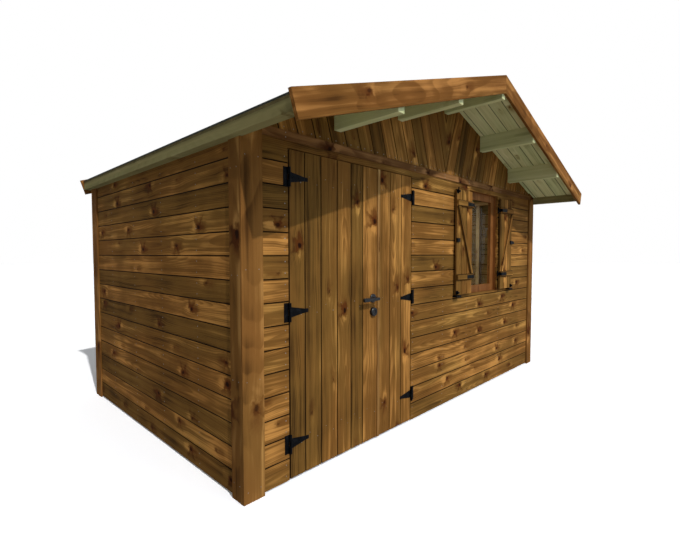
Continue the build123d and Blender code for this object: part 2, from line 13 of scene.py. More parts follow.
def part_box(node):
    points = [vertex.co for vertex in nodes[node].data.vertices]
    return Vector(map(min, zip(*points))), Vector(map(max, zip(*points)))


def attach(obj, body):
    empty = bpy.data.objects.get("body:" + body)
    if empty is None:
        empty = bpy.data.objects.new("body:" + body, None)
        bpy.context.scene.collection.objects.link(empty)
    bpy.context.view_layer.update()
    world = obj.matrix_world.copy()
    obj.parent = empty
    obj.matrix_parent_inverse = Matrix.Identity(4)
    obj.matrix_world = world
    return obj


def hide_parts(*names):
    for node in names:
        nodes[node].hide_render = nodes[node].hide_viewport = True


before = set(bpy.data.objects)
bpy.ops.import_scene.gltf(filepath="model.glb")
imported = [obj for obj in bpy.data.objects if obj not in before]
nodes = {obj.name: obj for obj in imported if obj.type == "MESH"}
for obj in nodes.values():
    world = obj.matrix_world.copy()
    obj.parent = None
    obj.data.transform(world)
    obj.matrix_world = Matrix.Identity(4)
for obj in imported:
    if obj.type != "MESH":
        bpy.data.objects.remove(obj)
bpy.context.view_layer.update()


# ---------------------------------------------------------------- wall cladding
# Horizontal tongue-and-groove boards of knotty pine, dipped in a brown stain, 128 mm to the
# course. Their arrises are taken off, and the faces of each V are coloured near black as painted shade. Each
# is nailed to the studs.

def tone(red, green, blue):
    """A colour as it looks on a screen, 0 to 255, turned into linear light."""
    def linear(value):
        value = value / 255
        return value / 12.92 if value <= 0.04045 else ((value + 0.055) / 1.055) ** 2.4
    return (linear(red), linear(green), linear(blue), 1)


def put(tree, kind, settings=None, **sockets):
    """A new shader node. A socket is named with _ for a space, or by its number after a _."""
    made = tree.nodes.new(kind)
    for key, value in (settings or {}).items():
        setattr(made, key, value)
    for key, value in sockets.items():
        name = int(key[1:]) if key[0] == "_" else key.replace("_", " ")
        if isinstance(value, bpy.types.NodeSocket):
            tree.links.new(value, made.inputs[name])
        else:
            made.inputs[name].default_value = value
    return made


def calc(tree, operation, first, second=0.0, third=0.0):
    return put(tree, "ShaderNodeMath", {"operation": operation}, _0=first, _1=second, _2=third).outputs[0]


def ease(tree, value, start, end, low=0.0, high=1.0):
    """low at start and high at end, smooth between and level outside."""
    return put(tree, "ShaderNodeMapRange", {"interpolation_type": "SMOOTHSTEP"}, _0=value, _1=start, _2=end,
               _3=low, _4=high).outputs["Result"]


def blend_colours(tree, amount, first, second):
    return put(tree, "ShaderNodeMix", {"data_type": "RGBA"}, _0=amount, _6=first, _7=second).outputs[2]


def cloud(tree, x, y, z, detail):
    """Soft noise, about 0.5 in the middle, at a point given in the noise's own units."""
    spot = put(tree, "ShaderNodeCombineXYZ", X=x, Y=y, Z=z).outputs[0]
    return put(tree, "ShaderNodeTexNoise", {"noise_dimensions": "3D"}, Vector=spot, Scale=1.0, Detail=detail,
               Roughness=0.55).outputs["Fac"]


def new_group(name, inputs, outputs):
    """A node group with its sockets, and its input and output ends."""
    group = bpy.data.node_groups.new(name, "ShaderNodeTree")
    for label, kind in inputs:
        group.interface.new_socket(label, in_out="INPUT", socket_type="NodeSocket" + kind)
    for label, kind in outputs:
        group.interface.new_socket(label, in_out="OUTPUT", socket_type="NodeSocket" + kind)
    return group, put(group, "NodeGroupInput").outputs, put(group, "NodeGroupOutput").inputs


# The figure of a pine board. Grain runs along its first axis and the board is one row wide. Each
# stretch of a row may hold a knot: a dark heart in a rusty ring, a rusty smear along the grain to
# one side of it and pale wood to the other, and a brown fan across the board. Streaks swing round it.
knot_stretch = 0.56
row = 0.128
pine_figure, given, wanted = new_group(
    "pine_figure",
    (("Grain", "Vector"), ("Knots", "Float"), ("Streaks", "Float"), ("Clouds", "Float"),
     ("Dark", "Color"), ("Middle", "Color"), ("Pale", "Color"), ("Knot", "Color"), ("Rust", "Color")),
    (("Color", "Color"), ("Height", "Float"), ("Light", "Float")))
t = pine_figure


def times(first, second):
    return calc(t, "MULTIPLY", first, second)


def plus(first, second):
    return calc(t, "ADD", first, second)


def blot(x, y, long, wide):
    """1 at a point that fades out over a length along the grain and a width across it."""
    spread = plus(calc(t, "POWER", calc(t, "DIVIDE", x, long), 2.0),
                  calc(t, "POWER", calc(t, "DIVIDE", y, wide), 2.0))
    return calc(t, "EXPONENT", times(spread, -1.0))


along, across, depth = put(t, "ShaderNodeSeparateXYZ", Vector=given["Grain"]).outputs
step_along = calc(t, "DIVIDE", along, knot_stretch)
step_across = calc(t, "DIVIDE", across, row)
cell_along = calc(t, "FLOOR", step_along)
cell_across = calc(t, "FLOOR", step_across)
cell = put(t, "ShaderNodeCombineXYZ", X=cell_along, Y=cell_across).outputs[0]
dice = put(t, "ShaderNodeTexWhiteNoise", {"noise_dimensions": "2D"}, Vector=cell)
roll = put(t, "ShaderNodeSeparateColor", Color=dice.outputs["Color"]).outputs
board_dice = put(t, "ShaderNodeTexWhiteNoise", {"noise_dimensions": "1D"}, W=cell_across).outputs["Value"]
heart_along = plus(cell_along, calc(t, "MULTIPLY_ADD", roll[0], 0.5, 0.25))
heart_across = plus(cell_across, calc(t, "MULTIPLY_ADD", roll[1], 0.6, 0.2))
off_along = times(calc(t, "SUBTRACT", step_along, heart_along), knot_stretch)
off_across = times(calc(t, "SUBTRACT", step_across, heart_across), row)
cell_fade = ease(t, calc(t, "ABSOLUTE", off_along), 0.14, 0.07)
strength = times(calc(t, "LESS_THAN", dice.outputs["Value"], given["Knots"]),
                 times(cell_fade, ease(t, roll[2], 0.0, 1.0, 0.35, 1.0)))
spot = put(t, "ShaderNodeCombineXYZ", X=times(along, 26.0), Y=times(across, 34.0),
           Z=times(depth, 34.0)).outputs[0]
ragged = put(t, "ShaderNodeTexNoise", Vector=spot, Scale=1.0, Detail=3.0, Roughness=0.6).outputs["Color"]
ragged = put(t, "ShaderNodeSeparateColor", Color=ragged).outputs
ripple = calc(t, "MULTIPLY_ADD", calc(t, "SUBTRACT", ragged[0], 0.5), 0.075, off_along)
waver = calc(t, "MULTIPLY_ADD", calc(t, "SUBTRACT", ragged[1], 0.5), 0.045, off_across)
side = calc(t, "SIGN", calc(t, "SUBTRACT", 0.5, roll[0]))
knot_size = calc(t, "MULTIPLY_ADD", roll[2], 0.008, 0.005)


def reach(x, y):
    """How many knot sizes off the heart a point lies. Knots are a little longer than wide."""
    squares = plus(calc(t, "POWER", times(x, 0.7), 2.0), calc(t, "POWER", y, 2.0))
    return calc(t, "DIVIDE", calc(t, "SQRT", squares), knot_size)


heart_place = reach(calc(t, "MULTIPLY_ADD", ripple, 0.3, times(off_along, 0.7)),
                    calc(t, "MULTIPLY_ADD", waver, 0.3, times(off_across, 0.7)))
heart = times(strength, ease(t, heart_place, 1.35, 0.6))
ring = times(strength, ease(t, reach(ripple, waver), 3.0, 0.8))
fan_out = times(waver, calc(t, "SIGN", calc(t, "SUBTRACT", 0.5, roll[1])))
fan_width = calc(t, "MULTIPLY_ADD", calc(t, "MAXIMUM", fan_out, 0.0), 0.6, knot_size)
fan_place = calc(t, "ABSOLUTE", calc(t, "DIVIDE", ripple, fan_width))
fan = times(times(ease(t, fan_place, 1.5, 0.9), ease(t, fan_place, 0.1, 0.9, 0.35, 1.0)),
            times(ease(t, fan_out, 0.080, 0.025), ease(t, fan_out, -0.012, 0.006)))
fan = times(fan, times(strength, ease(t, roll[2], 0.25, 0.6)))
smear = times(strength, blot(calc(t, "MULTIPLY_ADD", side, -0.038, ripple), waver, 0.050, 0.022))
halo = times(strength, blot(calc(t, "MULTIPLY_ADD", side, 0.042, ripple), waver, 0.048, 0.026))
swing = times(strength, blot(off_along, off_across, 0.10, 0.05))
wander = cloud(t, times(along, 1.1), times(across, 8.0), times(depth, 8.0), 1.0)
line = plus(plus(across, times(times(swing, off_across), -0.8)), times(wander, 0.05))
broad = cloud(t, times(along, 0.8), times(line, 30.0), times(depth, 30.0), 2.0)
fine = cloud(t, times(along, 3.0), times(line, 260.0), times(depth, 260.0), 2.0)
patch = cloud(t, times(along, 3.2), times(across, 12.0), times(depth, 9.0), 3.0)
drift = cloud(t, times(along, 1.4), times(across, 5.0), plus(cell_across, 3.5), 1.0)
everywhere = put(t, "ShaderNodeTexCoord").outputs["Object"]
weather = put(t, "ShaderNodeTexNoise", Vector=everywhere, Scale=2.3, Detail=2.0, Roughness=0.5).outputs["Fac"]

# Growth rings: each board is cut beside the heart of its tree, whose depth wanders along the board.
pith = times(row, plus(cell_across, calc(t, "MULTIPLY_ADD", board_dice, 1.4, -0.2)))
sink = cloud(t, times(along, 0.7), times(cell_across, 3.7), 0.0, 1.0)
sink = plus(calc(t, "MULTIPLY_ADD", sink, 0.16, -0.03), depth)
ring_radius = calc(t, "SQRT", plus(calc(t, "POWER", calc(t, "SUBTRACT", line, pith), 2.0),
                                   calc(t, "POWER", sink, 2.0)))
season = calc(t, "FRACT", calc(t, "MULTIPLY_ADD", wander, 3.0, calc(t, "DIVIDE", ring_radius, 0.0085)))
latewood = times(ease(t, season, 0.2, 0.85), ease(t, season, 1.0, 0.88))

# How light the wood is, from 0 to 1. Each effect adds its share of how far it is off its middle.
light = calc(t, "MULTIPLY_ADD", calc(t, "SUBTRACT", broad, 0.5), times(given["Streaks"], 1.12), 0.5)
for shade, middle, share in (
        (fine, 0.5, times(given["Streaks"], 0.26)),
        (latewood, 0.35, times(given["Streaks"], -0.16)),
        (patch, 0.5, times(given["Clouds"], 0.5)),
        (weather, 0.5, times(given["Clouds"], 0.75)),
        (board_dice, 0.5, times(given["Clouds"], 0.36)),
        (halo, 0.0, 0.42), (fan, 0.0, -0.36), (smear, 0.0, -0.38), (ring, 0.0, -0.40)):
    light = calc(t, "MULTIPLY_ADD", calc(t, "SUBTRACT", shade, middle), share, light)
light = put(t, "ShaderNodeClamp", Value=light).outputs[0]
low = blend_colours(t, ease(t, light, 0.0, 0.5), given["Dark"], given["Middle"])
colour = blend_colours(t, ease(t, light, 0.5, 1.0), low, given["Pale"])
rusty = calc(t, "MULTIPLY_ADD", ring, 0.5, calc(t, "MULTIPLY_ADD", fan, 0.45, times(smear, 0.6)))
colour = blend_colours(t, calc(t, "MINIMUM", 0.75, rusty), colour, given["Rust"])
colour = blend_colours(t, times(heart, 0.95), colour, given["Knot"])
warmth = ease(t, calc(t, "MULTIPLY_ADD", board_dice, 0.5, drift), 0.5, 1.0)
tint = blend_colours(t, warmth, (0.95, 1.0, 0.95, 1), (1.05, 0.97, 0.92, 1))
colour = put(t, "ShaderNodeMix", {"data_type": "RGBA", "blend_type": "MULTIPLY"}, _0=given["Clouds"],
             _6=colour, _7=tint).outputs[2]
t.links.new(colour, wanted["Color"])
grain_height = calc(t, "MULTIPLY_ADD", latewood, 0.4, times(broad, 0.4))
t.links.new(calc(t, "MULTIPLY_ADD", fine, 0.5, grain_height), wanted["Height"])
t.links.new(light, wanted["Light"])


def shades(*triples):
    """A finish: its dark, middle and pale shade, then its knots' heart and ring."""
    return tuple(tone(*triple) for triple in triples)


brown_stain = shades((66, 43, 18), (118, 81, 36), (186, 134, 68), (30, 14, 6), (94, 47, 17))
dipped_back = shades((68, 56, 32), (106, 88, 54), (144, 120, 78), (40, 24, 12), (86, 58, 30))
bare_pine = shades((140, 114, 80), (178, 152, 112), (204, 182, 142), (100, 68, 40), (150, 98, 56))


def timber(name, finish, order="", tilt=0.0, shift=0.0, coarse=1.0, knots=0.6, streaks=1.0, clouds=1.0,
           roughness=0.8):
    """Stained timber. order names the shed's axes along, across and through the piece, as "ZXY", after
    a turn by tilt about Y; shift moves the rows and coarse enlarges the figure. With no order, the
    piece's own grain and rim are read."""
    made = bpy.data.materials.new(name)
    made.use_nodes = True
    tree = made.node_tree
    shader = tree.nodes["Principled BSDF"]
    if order:
        place = put(tree, "ShaderNodeTexCoord").outputs["Object"]
        if tilt:
            place = put(tree, "ShaderNodeVectorRotate", {"rotation_type": "Y_AXIS"}, Vector=place,
                        Angle=tilt).outputs[0]
        axes = put(tree, "ShaderNodeSeparateXYZ", Vector=place).outputs
        first, second, third = (axes["XYZ".index(letter)] for letter in order)
        second = calc(tree, "ADD", second, shift)
        grain = put(tree, "ShaderNodeCombineXYZ", X=first, Y=second, Z=third).outputs[0]
        grain = put(tree, "ShaderNodeVectorMath", {"operation": "SCALE"}, Vector=grain,
                    Scale=1 / coarse).outputs[0]
    else:
        grain = put(tree, "ShaderNodeAttribute", {"attribute_name": "grain"}).outputs["Vector"]
    figure = put(tree, "ShaderNodeGroup", {"node_tree": pine_figure}, Grain=grain, Knots=knots,
                 Streaks=streaks, Clouds=clouds, Dark=finish[0], Middle=finish[1], Pale=finish[2],
                 Knot=finish[3], Rust=finish[4])
    colour = figure.outputs["Color"]
    if not order:
        rim = put(tree, "ShaderNodeAttribute", {"attribute_name": "rim"}).outputs["Fac"]
        # The bevels of each joint, where rim is 0, are coloured near black: painted shade in the V between
        # boards.
        groove = tuple(0.13 * part for part in finish[0][:3]) + (1,)
        colour = blend_colours(tree, ease(tree, rim, 0.3, 1.0), groove, colour)
    bump = put(tree, "ShaderNodeBump", Strength=0.2, Distance=0.002, Height=figure.outputs["Height"])
    rough = ease(tree, figure.outputs["Light"], 0.0, 1.0, roughness + 0.08, roughness - 0.08)
    tree.links.new(colour, shader.inputs["Base Color"])
    tree.links.new(rough, shader.inputs["Roughness"])
    tree.links.new(bump.outputs["Normal"], shader.inputs["Normal"])
    shader.inputs["Specular IOR Level"].default_value = 0.04
    return made


def stand(origin, along, inwards):
    """A place whose X runs along a board and whose Y goes in from its face. Its Z is across the board."""
    x, y = Vector(along).normalized(), Vector(inwards).normalized()
    return Matrix.Translation(origin) @ Matrix((x, y, x.cross(y))).transposed().to_4x4()


rng = random.Random(7)


def lay(bm, place, x0, x1, z0, z1, thick, joints=(True, True), seed=None, board_foot=None, arris=0.0055,
        both=False):
    """Adds a board. Its face is at y = 0 of place, and joints says which long edges, low and high,
    have their arris taken off, on its face or on both sides. board_foot is the low edge of the whole
    board that this is part of."""
    grain = bm.verts.layers.float_vector.get("grain") or bm.verts.layers.float_vector.new("grain")
    rim = bm.loops.layers.float.get("rim") or bm.loops.layers.float.new("rim")
    seed = rng.uniform(0, 90) if seed is None else seed
    foot = z0 if board_foot is None else board_foot
    squeeze = min(1.0, 0.995 * row / (z1 - foot))
    known = set(bm.verts)
    middle = Matrix.Translation(((x0 + x1) / 2, thick / 2, (z0 + z1) / 2))
    made = bmesh.ops.create_cube(bm, size=1, matrix=middle @ Matrix.Diagonal((x1 - x0, thick, z1 - z0, 1)))
    cut = []
    for edge in {edge for vert in made["verts"] for edge in vert.link_edges}:
        a, b = (vert.co for vert in edge.verts)
        lengthways = abs(a.y - b.y) < 1e-6 and abs(a.z - b.z) < 1e-6
        if lengthways and joints[a.z > (z0 + z1) / 2] and (both or a.y < thick / 2):
            cut.append(edge)
    if cut:
        bmesh.ops.bevel(bm, geom=cut, offset=arris, affect="EDGES", segments=1, profile=0.5, material=-1)
    fresh = [vert for vert in bm.verts if vert not in known]
    for vert in fresh:
        x, y, z = vert.co
        vert[grain] = (x + seed, (z - foot) * squeeze + 0.0003 + row * int(seed), y)
    for face in {face for vert in fresh for face in vert.link_faces}:
        face.normal_update()
        face.material_index = 1 if face.normal.y > 0.9 else 0
        for loop in face.loops:
            # rim is 0 on the bevelled faces of a joint, which the timber colours near black as painted shade.
            outer = loop.vert.co.z < z0 + 1e-5 or loop.vert.co.z > z1 - 1e-5
            loop[rim] = 0.0 if outer and 0.1 < abs(face.normal.z) < 0.9 else 1.0
    bmesh.ops.transform(bm, matrix=place, verts=fresh)


def finished(bm, name, body, slot, materials, *replaced):
    """Turns a bmesh into a piece that rides on a body and takes the given materials. Its slot is not used."""
    mesh = bpy.data.meshes.new(name)
    bm.to_mesh(mesh)
    bm.free()
    piece = bpy.data.objects.new(name, mesh)
    bpy.context.scene.collection.objects.link(piece)
    for material in materials:
        mesh.materials.append(material)
    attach(piece, body)
    if replaced:
        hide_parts(*replaced)
    return piece


def blank(name):
    """A new material, its node tree, its shader, and the place of each point on the shed."""
    made = bpy.data.materials.new(name)
    made.use_nodes = True
    tree = made.node_tree
    return made, tree, tree.nodes["Principled BSDF"], put(tree, "ShaderNodeTexCoord").outputs["Object"]


def coat(material, *names):
    """Gives CAD nodes their material."""
    for name in names:
        nodes[name].data.materials.clear()
        nodes[name].data.materials.append(material)


def lumps(name):
    """Lowest and highest corners of each separate solid in a CAD node, in order from the left."""
    bm = bmesh.new()
    bm.from_mesh(nodes[name].data)
    bmesh.ops.remove_doubles(bm, verts=bm.verts, dist=1e-5)
    boxes, left = [], set(bm.verts)
    while left:
        heap, lump = [left.pop()], []
        while heap:
            vert = heap.pop()
            lump.append(vert.co.copy())
            near = {edge.other_vert(vert) for edge in vert.link_edges} & left
            left -= near
            heap.extend(near)
        boxes.append((Vector(map(min, zip(*lump))), Vector(map(max, zip(*lump)))))
    bm.free()
    return sorted(boxes, key=lambda box: tuple(round(value, 4) for value in box[0]))


def stud(bm, place, x, z, radius, proud, sides=8):
    """A low nail or screw head on the face of a board."""
    turned = place @ Matrix.Translation((x, 0.0001 - proud / 2, z)) @ Matrix.Rotation(math.pi / 2, 4, "X")
    bmesh.ops.create_cone(bm, cap_ends=True, segments=sides, radius1=radius, radius2=0.62 * radius,
                          depth=proud, matrix=turned)


board_pine = timber("stained_boards", brown_stain)
board_back = timber("dipped_backs", dipped_back, streaks=0.8, clouds=0.7)
both_sides = (board_pine, board_back)

course = 0.128
first_joint = 0.1374
shed_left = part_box("left_wall")[0].x
shed_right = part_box("right_wall")[1].x
front_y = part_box("front_wall_left")[0].y
back_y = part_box("back_wall")[1].y
cladding = back_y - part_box("back_wall")[0].y
boards_bottom, gable_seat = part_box("back_wall")[0].z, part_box("back_wall")[1].z
wall_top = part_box("left_wall")[1].z
window_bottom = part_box("front_wall_below_window")[1].z
window_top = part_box("window_frame")[1].z
window_middle = (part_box("window_frame")[0].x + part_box("window_frame")[1].x) / 2

front_face = stand((0, front_y, 0), (1, 0, 0), (0, 1, 0))
back_face = stand((0, back_y, 0), (-1, 0, 0), (0, -1, 0))
left_face = stand((shed_left, 0, 0), (0, -1, 0), (1, 0, 0))
right_face = stand((shed_right, 0, 0), (0, 1, 0), (-1, 0, 0))
course_seeds = {}


def clad(bm, place, wall, x0, x1, low, high):
    """Courses of boards between two heights. A board cut at an opening keeps its figure beyond it."""
    joint, number = boards_bottom, 0
    while joint < high - 0.0005:
        upper = first_joint + course * number
        bottom, top = max(joint, low), min(upper, high)
        if top - bottom > 0.0005:
            key = (wall, number)
            if wall == "front" and x0 > window_middle and joint > window_bottom and upper < window_top:
                key = ("right of window", number)
            seed = course_seeds.setdefault(key, rng.uniform(0, 90))
            joints = (bottom == joint and number > 0, top == upper)
            lay(bm, place, x0, x1, bottom, top, cladding, joints, seed, upper - course, both=True)
        joint, number = upper, number + 1


front_parts = ("front_wall_left", "front_wall_middle", "front_wall_below_window", "front_wall_right",
               "front_wall_head")
boards = bmesh.new()
for name in front_parts:
    low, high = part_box(name)
    clad(boards, front_face, "front", low.x, high.x, low.z, high.z)
finished(boards, "front_cladding", "shed", "stained_wood", both_sides, *front_parts)

boards = bmesh.new()
clad(boards, back_face, "back", -shed_right, -shed_left, boards_bottom, gable_seat)
finished(boards, "back_cladding", "shed", "stained_wood", both_sides, "back_wall")

low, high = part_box("left_wall")
for name, place, x0, x1 in (("left_wall", left_face, -high.y, -low.y),
                            ("right_wall", right_face, low.y, high.y)):
    boards = bmesh.new()
    clad(boards, place, name, x0, x1, boards_bottom, wall_top)
    finished(boards, name.replace("wall", "cladding"), "shed", "stained_wood", both_sides, name)


# Galvanised nails, two to a board at each stud.
zinc, tree, shader, place = blank("galvanised_nails")
spangle = put(tree, "ShaderNodeTexNoise", Vector=place, Scale=240.0, Detail=3.0).outputs["Fac"]
tree.links.new(blend_colours(tree, ease(tree, spangle, 0.35, 0.65), tone(98, 90, 78), tone(158, 148, 132)),
               shader.inputs["Base Color"])
tree.links.new(ease(tree, spangle, 0.35, 0.65, 0.62, 0.42), shader.inputs["Roughness"])
shader.inputs["Metallic"].default_value = 0.25
shader.inputs["Specular IOR Level"].default_value = 0.3
nail_radius, nail_proud = 0.0038, 0.0010


def course_nails(bm, place, uprights, low, high):
    """Two nails in each course at each upright, where the course is whole enough to take them."""
    number = 0
    while first_joint + course * (number - 1) < high:
        upper = first_joint + course * number
        for z in (upper - 0.75 * course, upper - 0.25 * course):
            if low + 0.015 < z < high - 0.015:
                for x in uprights:
                    stud(bm, place, x, z, nail_radius, nail_proud)
        number += 1


wall_nails = bmesh.new()
front_studs = [(a.x + b.x) / 2 for a, b in lumps("end_studs") if a.y < 0]
for name in front_parts:
    low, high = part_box(name)
    course_nails(wall_nails, front_face, [x for x in front_studs if low.x < x < high.x], low.z, high.z)
back_studs = [-(a.x + b.x) / 2 for a, b in lumps("end_studs") if a.y > 0]
course_nails(wall_nails, back_face, back_studs, boards_bottom, gable_seat)
for place, hand in ((left_face, -1), (right_face, 1)):
    uprights = [hand * (a.y + b.y) / 2 for a, b in lumps("side_studs") if a.x * hand > 0]
    course_nails(wall_nails, place, uprights, boards_bottom, wall_top)
finished(wall_nails, "wall_nails", "shed", "alloy", (zinc,))


# ---------------------------------------------------------------- gable boards
# Boards square to each roof slope, which meet in a herringbone under the ridge. Their feet are
# sawn level behind the band and their heads follow the underside of the roof boards.

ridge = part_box("purlins")[1].z
pitch = math.atan((ridge - wall_top) / shed_right)
herringbone_level = 1.983
uncut_board = (-0.35, 0.9)   # along the slant from that level, before both ends are sawn


def saw(bm, point, outwards):
    """Cuts away what lies beyond a plane and closes the boards again."""
    everything = bm.verts[:] + bm.edges[:] + bm.faces[:]
    cut = bmesh.ops.bisect_plane(bm, geom=everything, plane_co=point, plane_no=outwards, clear_outer=True)
    edges = [item for item in cut["geom_cut"] if isinstance(item, bmesh.types.BMEdge)]
    rim = bm.loops.layers.float["rim"]
    for face in bmesh.ops.holes_fill(bm, edges=edges, sides=0)["faces"]:
        face.material_index = 1
        for loop in face.loops:
            loop[rim] = 1.0


def gather(bm, part):
    """Adds one bmesh to another."""
    spare = bpy.data.meshes.new("spare")
    part.to_mesh(spare)
    part.free()
    bm.from_mesh(spare)
    bpy.data.meshes.remove(spare)


for name, place in (("front_gable", front_face), ("back_gable", back_face)):
    gable = bmesh.new()
    for side in (-1, 1):
        half = bmesh.new()
        leaning = stand((0, 0, herringbone_level), (side * math.sin(pitch), 0, math.cos(pitch)), (0, 1, 0))
        for number in range(-3, 16):
            foot = number * course if side < 0 else -(number + 1) * course
            lay(half, leaning, *uncut_board, foot, foot + course, cladding)
        saw(half, (0, 0, gable_seat), (0, 0, -1))
        saw(half, (0, 0, ridge), (side * math.sin(pitch), 0, math.cos(pitch)))
        saw(half, (0, 0, 0), (-side, 0, 0))
        saw(half, (side * shed_right, 0, 0), (side, 0, 0))
        gather(gable, half)
    bmesh.ops.transform(gable, matrix=place, verts=gable.verts)
    finished(gable, name + "_boards", "shed", "stained_wood", both_sides, name)

band_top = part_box("gable_bands")[1].z
level_course = course / math.cos(pitch)
gable_nails = bmesh.new()
for place in (front_face, back_face):
    for number in range(-14, 15):
        for x in ((number + 0.25) * level_course, (number + 0.75) * level_course):
            if abs(x) < shed_right - 0.09:
                stud(gable_nails, place, x, band_top + 0.022, nail_radius, nail_proud)
finished(gable_nails, "gable_nails", "shed", "alloy", (zinc,))


# ---------------------------------------------------------------- trims and bargeboards
# Planed boards in a redder stain: corner boards, the bands over the wall boards, and the
# bargeboards at both ends of the roof. The corner boards and bands are nailed through their faces.

trim_stain = shades((58, 34, 12), (116, 76, 34), (176, 124, 66), (32, 14, 5), (86, 40, 14))
corner_stain = shades((70, 44, 18), (126, 85, 40), (182, 132, 72), (32, 15, 6), (88, 44, 16))
# The corner boards on the side walls take a darker copy of the corner stain: painted shade for the side away
# from the sun.
side_corner_painted_shade = shades((60, 38, 15), (112, 75, 34), (164, 120, 66), (30, 14, 6), (76, 38, 14))
# The bands take a darker copy of the stain: painted shade under the eaves.
band_painted_shade = shades((46, 29, 14), (92, 62, 32), (144, 104, 62), (28, 13, 6), (66, 33, 13))
coat(timber("corner_board_pine", corner_stain, "ZXY", shift=0.272, coarse=1.5, knots=0.85),
     "end_corner_boards")
coat(timber("side_corner_board_painted_shade", side_corner_painted_shade, "ZYX", shift=0.096, coarse=1.5, knots=0.85),
     "side_corner_boards")
coat(timber("band_painted_shade_pine", band_painted_shade, "XZY", shift=0.04), "gable_bands")
for hand, tilt in (("left", pitch), ("right", -pitch)):
    coat(timber(hand + "_bargeboard_pine", trim_stain, "XZY", tilt=tilt, coarse=1.1, knots=0.8, streaks=1.1),
         hand + "_bargeboards")


def end_trim_face(low, high):
    """The outer face of a trim on the front or back wall, and which way its X runs."""
    if low.y < 0:
        return stand((0, low.y, 0), (1, 0, 0), (0, 1, 0)), 1
    return stand((0, high.y, 0), (-1, 0, 0), (0, -1, 0)), -1


trim_nails = bmesh.new()
for low, high in lumps("gable_bands"):
    place, hand = end_trim_face(low, high)
    for a, b in lumps("end_studs"):
        if a.y * low.y > 0 and abs(a.x) < high.x - 0.1:
            for z in (low.z + 0.012, high.z - 0.012):
                stud(trim_nails, place, hand * (a.x + b.x) / 2, z, nail_radius, nail_proud)
for low, high in lumps("end_corner_boards"):
    place, hand = end_trim_face(low, high)
    for number in range(4):
        for share in (0.2, 0.8):
            stud(trim_nails, place, hand * (low.x + share * (high.x - low.x)), 0.06 + 0.58 * number, 0.003,
                 nail_proud)
for low, high in lumps("side_corner_boards"):
    place, hand = (stand((low.x, 0, 0), (0, -1, 0), (1, 0, 0)), -1) if low.x < 0 else (
        stand((high.x, 0, 0), (0, 1, 0), (-1, 0, 0)), 1)
    for number in range(4):
        for share in (0.25, 0.8):
            stud(trim_nails, place, hand * (low.y + share * (high.y - low.y)), 0.09 + 0.55 * number, 0.003,
                 nail_proud)
finished(trim_nails, "trim_nails", "shed", "alloy", (zinc,))


# ---------------------------------------------------------------- roof
# Pressure-treated boards, grey green, run down the slope over five purlins and the two eave
# purlins. Mineral felt is laid over them from the eaves up, each length lapping the one below, and
# is turned down at the eaves.

# This green is partly the treated timber's own grey green and partly painted light: it is set paler to lift
# the shaded underside of the roof.
green_treated = shades((148, 151, 103), (199, 198, 145), (222, 219, 168), (102, 84, 50), (156, 134, 82))
# A darker copy of the green for the eave purlins: painted shade on their outer faces.
green_painted_shade = shades((92, 87, 54), (130, 122, 80), (158, 149, 102), (70, 54, 30), (106, 88, 50))
green_ends = shades((76, 68, 44), (108, 98, 64), (136, 124, 84), (60, 46, 28), (90, 72, 42))
coat(timber("treated_purlins", green_treated, "YXZ", knots=0.4, streaks=0.9, clouds=0.5), "purlins")
coat(timber("treated_eave_purlins_painted_shade", green_painted_shade, "YZX", knots=0.4, streaks=0.6, clouds=0.5), "eave_purlins")
roof_pine = timber("treated_roof_boards", green_treated, knots=0.45, streaks=1.1, clouds=0.8)
roof_ends = timber("treated_board_ends", green_ends, knots=0.0, streaks=0.6, clouds=0.6)

roof_low, roof_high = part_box("left_roof_boards")
slope_length = -roof_low.x / math.cos(pitch)
deck_thick = 0.019
roof_board = 0.111
board_count = math.ceil((roof_high.y - roof_low.y) / roof_board)
felt_lip, felt_lip_drop = 0.0025, 0.007   # the felt is turned down over the ends of the boards
eave = -roof_low.x - felt_lip


def down_slope(side, up=1):
    """A place at the ridge whose X runs down one slope of the roof. Its Y goes up, or down if up is -1."""
    return stand((0, 0, ridge), (side * math.cos(pitch), 0, -math.sin(pitch)),
                 (up * side * math.sin(pitch), 0, up * math.cos(pitch)))


for name, side in (("left_roof_boards", -1), ("right_roof_boards", 1)):
    deck = bmesh.new()
    for number in range(board_count):
        a = roof_low.y + number * roof_board
        b = min(a + roof_board, roof_high.y)
        if side > 0:
            a, b = -b, -a
        lay(deck, down_slope(side), -0.05, slope_length + 0.02, a, b, deck_thick, arris=0.0045)
    saw(deck, (0, 0, 0), (-side, 0, 0))
    saw(deck, (side * eave, 0, 0), (side, 0, 0))
    finished(deck, name.replace("roof_boards", "roof_deck"), "shed", "green_wood", (roof_pine, roof_ends),
             name)

felt_grey, tree, shader, place = blank("mineral_felt")
grit = put(tree, "ShaderNodeTexNoise", Vector=place, Scale=420.0, Detail=3.0, Roughness=0.7).outputs["Fac"]
stains = put(tree, "ShaderNodeTexNoise", Vector=place, Scale=2.4, Detail=5.0).outputs["Fac"]
colour = blend_colours(tree, ease(tree, grit, 0.36, 0.62), tone(38, 40, 34), tone(96, 99, 88))
colour = blend_colours(tree, ease(tree, stains, 0.35, 0.75, 0.0, 0.5), colour, tone(60, 62, 52))
bump = put(tree, "ShaderNodeBump", Strength=0.6, Distance=0.001, Height=grit)
tree.links.new(colour, shader.inputs["Base Color"])
tree.links.new(bump.outputs["Normal"], shader.inputs["Normal"])
shader.inputs["Roughness"].default_value = 0.9

